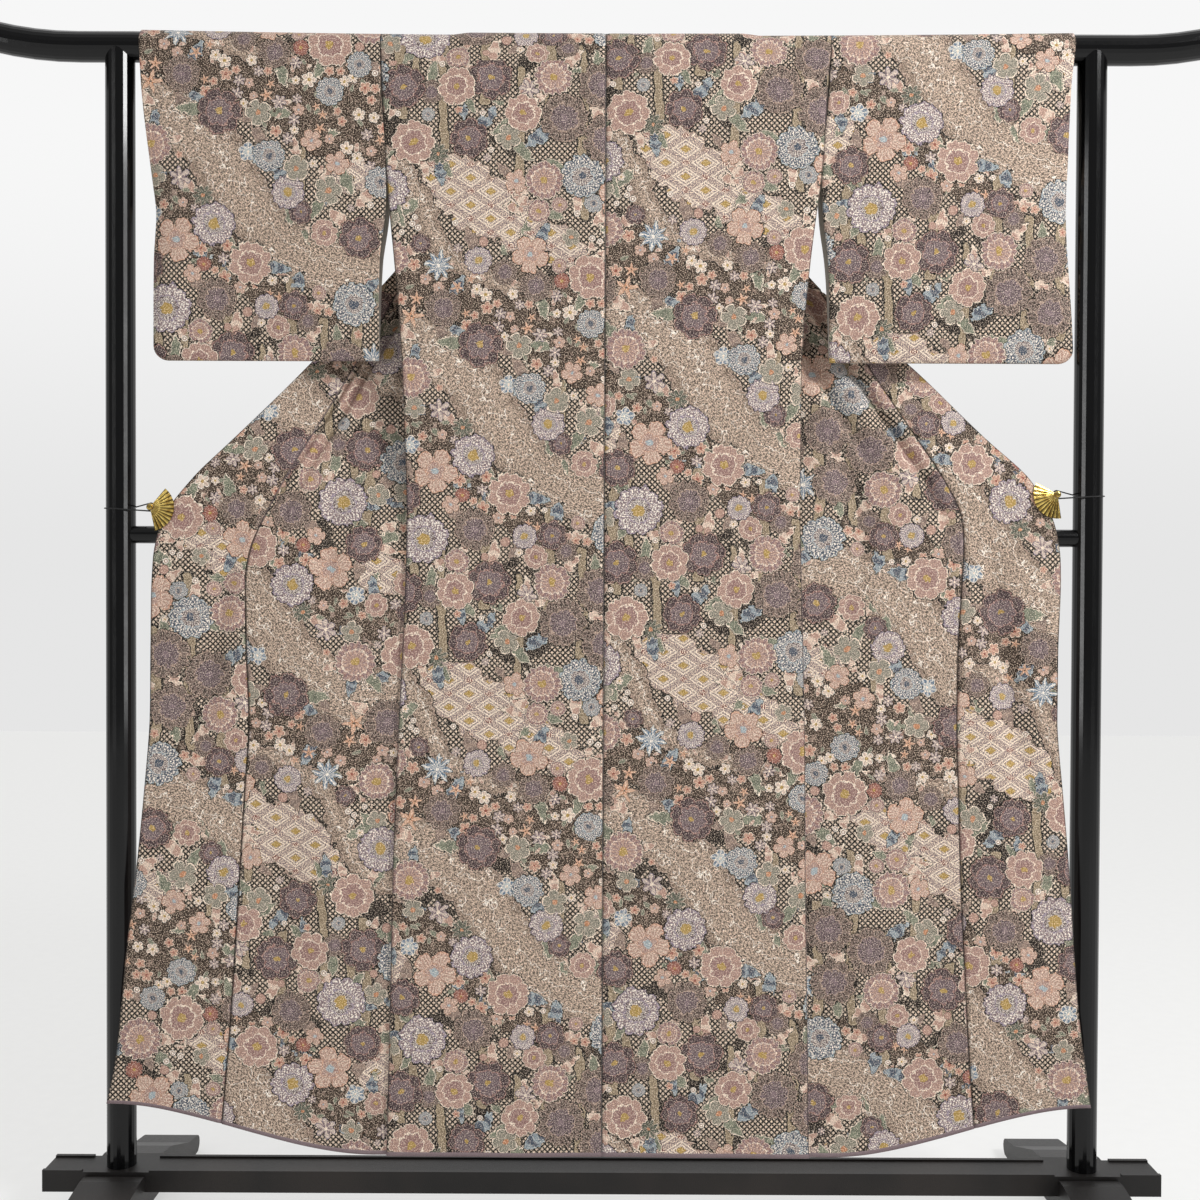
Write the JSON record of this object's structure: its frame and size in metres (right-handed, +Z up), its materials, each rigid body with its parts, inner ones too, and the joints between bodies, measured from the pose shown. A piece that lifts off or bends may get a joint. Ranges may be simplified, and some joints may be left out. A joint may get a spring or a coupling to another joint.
{
  "type": "kimono on display stand",
  "caption": "Lined kimono hung open by its shoulders over a rail, back outward, with both fronts spread to the sides and held by fan clips tied to the stand's posts.",
  "frame": {"origin": "on the floor, below the middle of the stand", "axes": "+Z up, +X along the rail to the viewer's right, -Y towards the viewer, who faces the kimono's back"},
  "size_m": [1.8002, 0.46, 1.6728],
  "materials": {
    "cloth": "matt patterned silk weave",
    "stand_gloss": "gloss black",
    "stand_satin": "satin black",
    "clip_brass": "polished",
    "cord": "matt black elastic cord"
  },
  "bodies": {
    "root": {"body_left": "cloth", "body_right": "cloth", "okumi_left": "cloth", "okumi_right": "cloth", "sleeve_left": "cloth", "sleeve_right": "cloth", "collar": "cloth", "top_rail": "stand_gloss", "post_left": "stand_gloss", "post_right": "stand_gloss", "crossbar": "stand_gloss", "base_bar": "stand_satin", "foot_left": "stand_satin", "foot_right": "stand_satin", "clip_left_fan": "clip_brass", "clip_left_jaw": "clip_brass", "clip_left_pin": "clip_brass", "clip_right_fan": "clip_brass", "clip_right_jaw": "clip_brass", "clip_right_pin": "clip_brass", "cord_left": "cord", "cord_right": "cord"}
  },
  "joints": []
}
